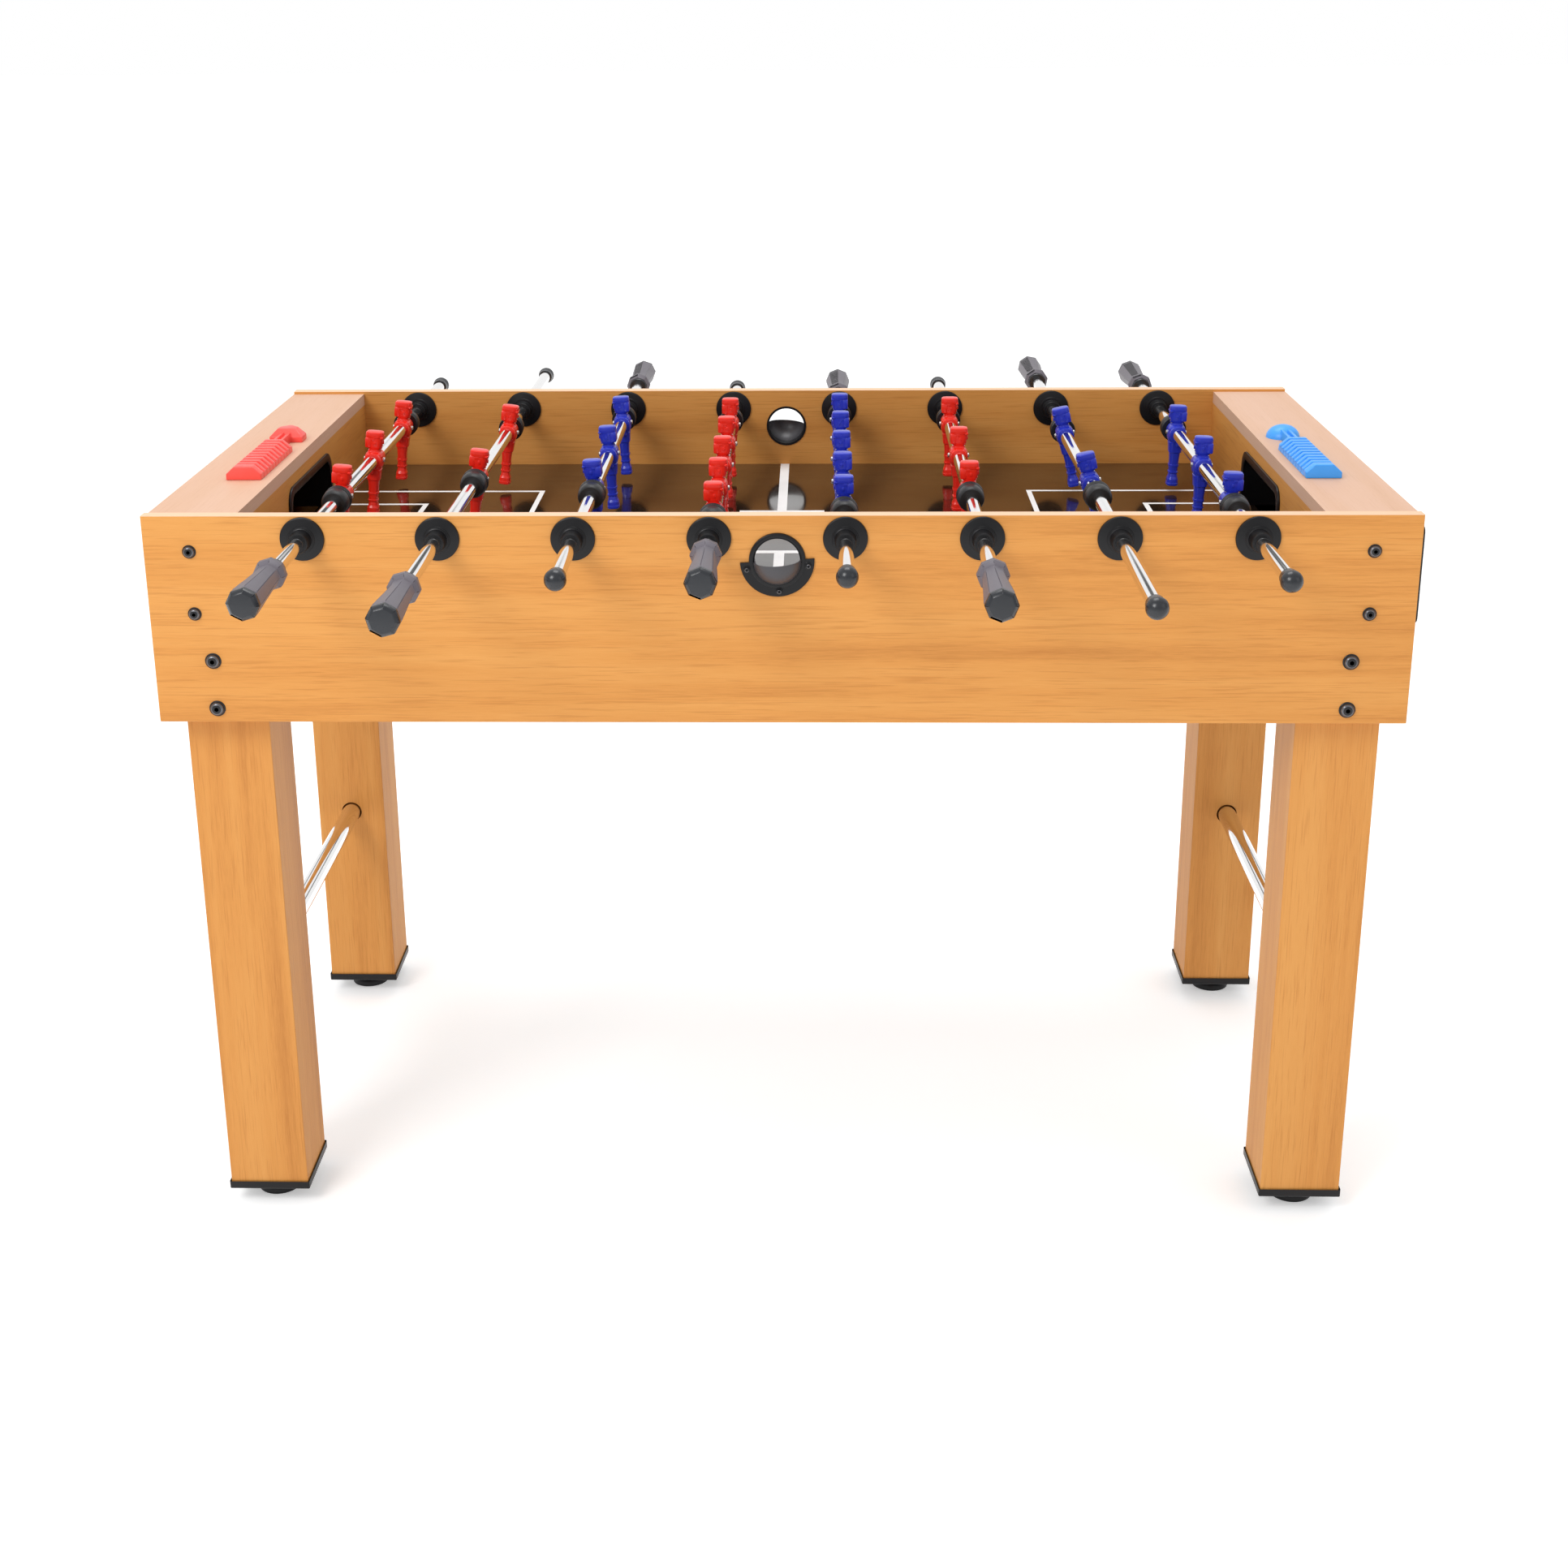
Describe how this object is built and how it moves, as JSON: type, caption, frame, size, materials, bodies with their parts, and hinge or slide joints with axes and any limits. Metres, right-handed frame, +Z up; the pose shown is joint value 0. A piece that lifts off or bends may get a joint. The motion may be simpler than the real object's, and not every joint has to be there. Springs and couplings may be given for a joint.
{
  "type": "foosball table",
  "caption": "Free-standing foosball table: wooden cabinet on four square legs, spinning and sliding player rods across a glossy pitch, goals, ball entries and sliding scorers.",
  "frame": {"origin": "on the floor, under the middle of the table", "axes": "+X along the table to the right of a player at the front, +Y to the back along the rods, +Z up"},
  "size_m": [1.388, 1.33, 0.882],
  "materials": {
    "wood_panel": "satin beech laminate",
    "wood_leg": "satin beech laminate, vertical grain",
    "playfield_black": "glossy black laminate",
    "black_plastic": "satin black plastic",
    "leveller_plastic": "satin black plastic",
    "chrome_tube": "polished",
    "bolt_black": "black oxide",
    "red_scorer": "gloss",
    "blue_scorer": "gloss",
    "red_player": "semi-gloss",
    "blue_player": "semi-gloss",
    "bumper_rubber": "matt",
    "handle_grip": "satin dark grey"
  },
  "bodies": {
    "table": {"back_left_leg": "wood_leg", "back_right_leg": "wood_leg", "back_side_panel": "wood_panel", "ball_entries": "black_plastic", "ball_returns": "black_plastic", "bearing_retainers": "black_plastic", "blue_scorer_rail": "blue_scorer", "cabinet_bolts": "bolt_black", "corner_blocks": "wood_panel", "deck_boards": "wood_panel", "end_panels": "wood_panel", "front_left_leg": "wood_leg", "front_right_leg": "wood_leg", "front_side_panel": "wood_panel", "goal_frames": "black_plastic", "left_goal_panel": "wood_panel", "leg_end_caps": "black_plastic", "leg_stretchers": "chrome_tube", "playfield": "playfield_black", "red_scorer_rail": "red_scorer", "right_goal_panel": "wood_panel", "rod_bearings": "black_plastic"},
    "rod_1_slider": {"rod_1_bumpers": "bumper_rubber"},
    "rod_1_spinner": {"rod_1_tube": "chrome_tube", "rod_1_players": "red_player", "rod_1_handle": "handle_grip"},
    "rod_2_slider": {"rod_2_bumpers": "bumper_rubber"},
    "rod_2_spinner": {"rod_2_tube": "chrome_tube", "rod_2_players": "red_player", "rod_2_handle": "handle_grip"},
    "rod_3_slider": {"rod_3_bumpers": "bumper_rubber"},
    "rod_3_spinner": {"rod_3_tube": "chrome_tube", "rod_3_players": "blue_player", "rod_3_handle": "handle_grip"},
    "rod_4_slider": {"rod_4_bumpers": "bumper_rubber"},
    "rod_4_spinner": {"rod_4_tube": "chrome_tube", "rod_4_players": "red_player", "rod_4_handle": "handle_grip"},
    "rod_5_slider": {"rod_5_bumpers": "bumper_rubber"},
    "rod_5_spinner": {"rod_5_tube": "chrome_tube", "rod_5_players": "blue_player", "rod_5_handle": "handle_grip"},
    "rod_6_slider": {"rod_6_bumpers": "bumper_rubber"},
    "rod_6_spinner": {"rod_6_tube": "chrome_tube", "rod_6_players": "red_player", "rod_6_handle": "handle_grip"},
    "rod_7_slider": {"rod_7_bumpers": "bumper_rubber"},
    "rod_7_spinner": {"rod_7_tube": "chrome_tube", "rod_7_players": "blue_player", "rod_7_handle": "handle_grip"},
    "rod_8_slider": {"rod_8_bumpers": "bumper_rubber"},
    "rod_8_spinner": {"rod_8_tube": "chrome_tube", "rod_8_players": "blue_player", "rod_8_handle": "handle_grip"},
    "red_beads": {"red_scorer_beads": "red_scorer"},
    "blue_beads": {"blue_scorer_beads": "blue_scorer"},
    "front_left_foot": {"front_left_leveller": "leveller_plastic"},
    "front_right_foot": {"front_right_leveller": "leveller_plastic"},
    "back_left_foot": {"back_left_leveller": "leveller_plastic"},
    "back_right_foot": {"back_right_leveller": "leveller_plastic"}
  },
  "joints": [
    {"name": "rod_1_slide", "type": "slide", "parent": "table", "child": "rod_1_slider", "axis": [0, 1, 0], "range_m": [-0.1217, 0.0577]},
    {"name": "rod_1_spin", "type": "hinge", "parent": "rod_1_slider", "child": "rod_1_spinner", "pos_m": [-0.511, 0, 0.8443], "axis": [0, 1, 0], "continuous": true},
    {"name": "rod_2_slide", "type": "slide", "parent": "table", "child": "rod_2_slider", "axis": [0, 1, 0], "range_m": [-0.2051, 0.0867]},
    {"name": "rod_2_spin", "type": "hinge", "parent": "rod_2_slider", "child": "rod_2_spinner", "pos_m": [-0.365, 0, 0.8443], "axis": [0, 1, 0], "continuous": true},
    {"name": "rod_3_slide", "type": "slide", "parent": "table", "child": "rod_3_slider", "axis": [0, 1, 0], "range_m": [-0.1216, 0.0297]},
    {"name": "rod_3_spin", "type": "hinge", "parent": "rod_3_slider", "child": "rod_3_spinner", "pos_m": [-0.219, 0, 0.8443], "axis": [0, 1, 0], "continuous": true},
    {"name": "rod_4_slide", "type": "slide", "parent": "table", "child": "rod_4_slider", "axis": [0, 1, 0], "range_m": [-0.0347, 0.0266]},
    {"name": "rod_4_spin", "type": "hinge", "parent": "rod_4_slider", "child": "rod_4_spinner", "pos_m": [-0.073, 0, 0.8443], "axis": [0, 1, 0], "continuous": true},
    {"name": "rod_5_slide", "type": "slide", "parent": "table", "child": "rod_5_slider", "axis": [0, 1, 0], "range_m": [-0.0466, 0.0137]},
    {"name": "rod_5_spin", "type": "hinge", "parent": "rod_5_slider", "child": "rod_5_spinner", "pos_m": [0.073, 0, 0.8443], "axis": [0, 1, 0], "continuous": true},
    {"name": "rod_6_slide", "type": "slide", "parent": "table", "child": "rod_6_slider", "axis": [0, 1, 0], "range_m": [-0.1231, 0.0427]},
    {"name": "rod_6_spin", "type": "hinge", "parent": "rod_6_slider", "child": "rod_6_spinner", "pos_m": [0.219, 0, 0.8443], "axis": [0, 1, 0], "continuous": true},
    {"name": "rod_7_slide", "type": "slide", "parent": "table", "child": "rod_7_slider", "axis": [0, 1, 0], "range_m": [-0.1387, 0.1097]},
    {"name": "rod_7_spin", "type": "hinge", "parent": "rod_7_slider", "child": "rod_7_spinner", "pos_m": [0.365, 0, 0.8443], "axis": [0, 1, 0], "continuous": true},
    {"name": "rod_8_slide", "type": "slide", "parent": "table", "child": "rod_8_slider", "axis": [0, 1, 0], "range_m": [-0.0787, 0.1007]},
    {"name": "rod_8_spin", "type": "hinge", "parent": "rod_8_slider", "child": "rod_8_spinner", "pos_m": [0.511, 0, 0.8443], "axis": [0, 1, 0], "continuous": true},
    {"name": "red_scorer_slide", "type": "slide", "parent": "table", "child": "red_beads", "axis": [0, 1, 0], "range_m": [0, 0.0516]},
    {"name": "blue_scorer_slide", "type": "slide", "parent": "table", "child": "blue_beads", "axis": [0, 1, 0], "range_m": [0, 0.0516]},
    {"name": "front_left_leveller_screw", "type": "slide", "parent": "table", "child": "front_left_foot", "axis": [0, 0, -1], "range_m": [0, 0.012]},
    {"name": "front_right_leveller_screw", "type": "slide", "parent": "table", "child": "front_right_foot", "axis": [0, 0, -1], "range_m": [0, 0.012]},
    {"name": "back_left_leveller_screw", "type": "slide", "parent": "table", "child": "back_left_foot", "axis": [0, 0, -1], "range_m": [0, 0.012]},
    {"name": "back_right_leveller_screw", "type": "slide", "parent": "table", "child": "back_right_foot", "axis": [0, 0, -1], "range_m": [0, 0.012]}
  ]
}
